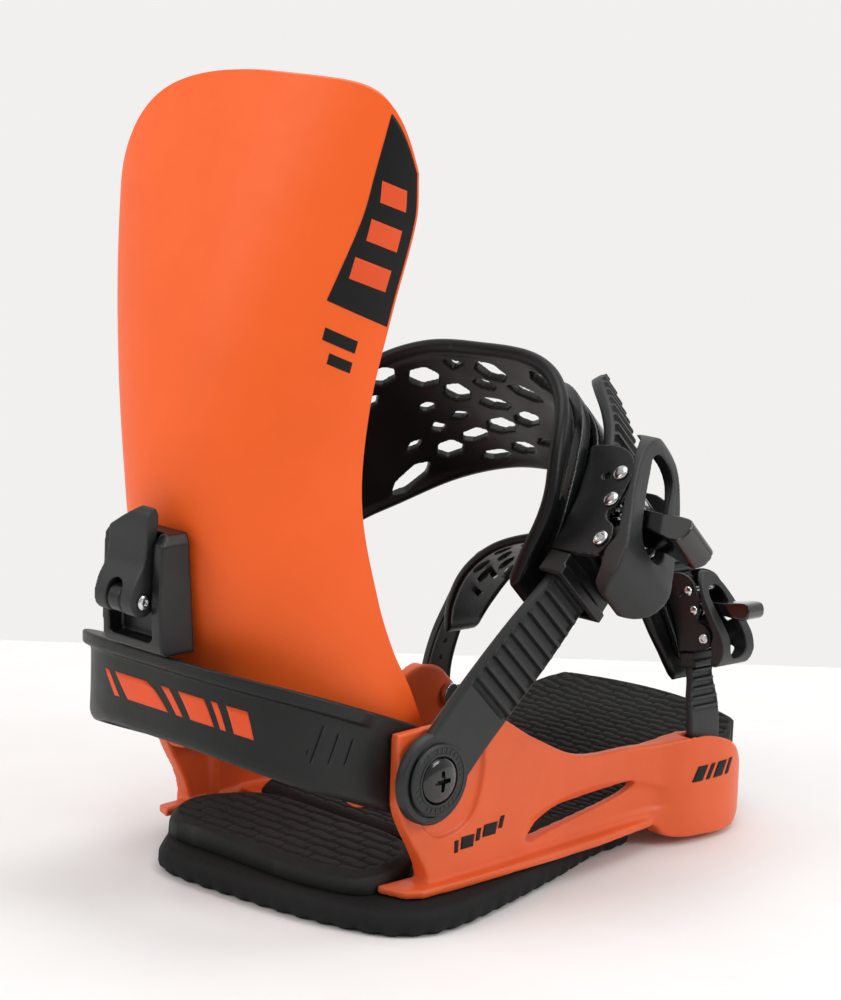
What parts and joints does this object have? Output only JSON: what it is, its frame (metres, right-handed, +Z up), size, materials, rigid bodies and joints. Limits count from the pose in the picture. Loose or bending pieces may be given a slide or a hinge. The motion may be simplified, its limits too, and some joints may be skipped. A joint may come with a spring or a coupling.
{
  "type": "snowboard binding",
  "caption": "Strap-in snowboard binding, right foot: baseplate with mounting disc, heel hoop, folding highback, ankle and toe straps with ratchet buckles.",
  "frame": {"origin": "centre of the mounting disc's underside, on the board", "axes": "+X to the outer side, where the ratchet buckles are; +Y towards the toe; +Z up from the board"},
  "size_m": [0.1886, 0.2815, 0.282],
  "materials": {
    "orange_shell": "satin",
    "black_plastic": "satin",
    "grey_plastic": "satin",
    "gloss_black": "gloss",
    "foam": "matte",
    "strap_rubber": "satin",
    "steel": "bright",
    "dark_steel": "gloss"
  },
  "bodies": {
    "base": {"base_gasket": "foam", "heel_pad": "foam", "baseplate": "orange_shell", "footbed": "foam", "heel_hoop": "grey_plastic", "hoop_screw_right": "dark_steel", "hoop_screw_left": "dark_steel", "ankle_bolt_right": "dark_steel", "ankle_bolt_left": "dark_steel", "ankle_washer_right": "grey_plastic", "ankle_washer_left": "grey_plastic", "ankle_nut_right": "steel", "ankle_nut_left": "steel", "toe_bolt_right": "steel", "toe_bolt_left": "steel"},
    "disc": {"mounting_disc": "black_plastic", "disc_screw_1": "steel", "disc_screw_2": "steel", "disc_screw_3": "steel", "disc_screw_4": "steel"},
    "highback": {"highback": "orange_shell", "highback_pad": "foam"},
    "lean_adjuster": {"lean_block": "black_plastic", "lean_eyebolt": "grey_plastic", "lean_nut": "steel", "lean_pin": "steel"},
    "lean_lever": {"lean_lever": "grey_plastic"},
    "ankle_strap": {"ankle_pad": "strap_rubber", "ankle_frame": "black_plastic", "ankle_link": "grey_plastic", "ankle_link_plate": "steel", "ankle_link_screw": "steel", "ankle_buckle_base": "black_plastic", "ankle_ladder_keeper": "grey_plastic", "ankle_release_spring": "steel", "ankle_buckle_axle": "steel", "ankle_pawl_pin": "steel", "ankle_stop_pin": "steel"},
    "ankle_ladder": {"ankle_ladder": "grey_plastic"},
    "ankle_lever": {"ankle_buckle_lever": "grey_plastic"},
    "ankle_release": {"ankle_buckle_release": "gloss_black"},
    "toe_strap": {"toe_pad": "strap_rubber", "toe_frame": "black_plastic", "toe_link": "grey_plastic", "toe_link_button_1": "dark_steel", "toe_link_button_2": "dark_steel", "toe_buckle_base": "black_plastic", "toe_ladder_keeper": "grey_plastic", "toe_release_spring": "steel", "toe_buckle_axle": "steel", "toe_pawl_pin": "steel", "toe_stop_pin": "steel"},
    "toe_ladder": {"toe_ladder": "grey_plastic"},
    "toe_lever": {"toe_buckle_lever": "grey_plastic"},
    "toe_release": {"toe_buckle_release": "gloss_black"}
  },
  "joints": [
    {"name": "stance_turn", "type": "hinge", "parent": "base", "child": "disc", "pos_m": [0, 0, 0.0112], "axis": [0, 0, 1], "range_deg": [-90, 90]},
    {"name": "highback_fold", "type": "hinge", "parent": "base", "child": "highback", "pos_m": [0, -0.0525, 0.05], "axis": [-1, 0, 0], "range_deg": [0, 28]},
    {"name": "lean_slide", "type": "slide", "parent": "highback", "child": "lean_adjuster", "axis": [0, -0.0995, 0.995], "range_m": [0, 0.015]},
    {"name": "lean_lever_open", "type": "hinge", "parent": "lean_adjuster", "child": "lean_lever", "pos_m": [0, -0.1325, 0.1115], "axis": [1, 0, 0], "range_deg": [0, 95]},
    {"name": "ankle_strap_tilt", "type": "hinge", "parent": "base", "child": "ankle_strap", "pos_m": [0, -0.0525, 0.05], "axis": [-1, 0, 0], "range_deg": [0, 7]},
    {"name": "ankle_ladder_tilt", "type": "hinge", "parent": "base", "child": "ankle_ladder", "pos_m": [0, -0.0525, 0.05], "axis": [-1, 0, 0], "range_deg": [0, 7]},
    {"name": "ankle_lever_open", "type": "hinge", "parent": "ankle_strap", "child": "ankle_lever", "pos_m": [0.086, 0.01538, 0.11788], "axis": [0, 0.7071, -0.7071], "range_deg": [0, 22]},
    {"name": "ankle_release_press", "type": "hinge", "parent": "ankle_strap", "child": "ankle_release", "pos_m": [0.08, 0.0267, 0.1292], "axis": [0, -0.7071, 0.7071], "range_deg": [0, 10], "stiffness_Nm_per_rad": 0.05, "springref_deg": -5.73},
    {"name": "toe_strap_tilt", "type": "hinge", "parent": "base", "child": "toe_strap", "pos_m": [0, 0.086, 0.031], "axis": [-0.9942, -0.1071, 0], "range_deg": [0, 18]},
    {"name": "toe_ladder_tilt", "type": "hinge", "parent": "base", "child": "toe_ladder", "pos_m": [0, 0.086, 0.031], "axis": [-0.9942, -0.1071, 0], "range_deg": [0, 18]},
    {"name": "toe_lever_open", "type": "hinge", "parent": "toe_strap", "child": "toe_lever", "pos_m": [0.06508, 0.09618, 0.07599], "axis": [-0.1069, 0.9918, -0.0698], "range_deg": [0, 22]},
    {"name": "toe_release_press", "type": "hinge", "parent": "toe_strap", "child": "toe_release", "pos_m": [0.0594, 0.09624, 0.08553], "axis": [0.1069, -0.9918, 0.0698], "range_deg": [0, 10], "stiffness_Nm_per_rad": 0.02, "springref_deg": -5.73}
  ],
  "couplings": [
    {"joint": "ankle_ladder_tilt", "follows": "ankle_strap_tilt", "ratio": 1},
    {"joint": "toe_ladder_tilt", "follows": "toe_strap_tilt", "ratio": 1}
  ]
}
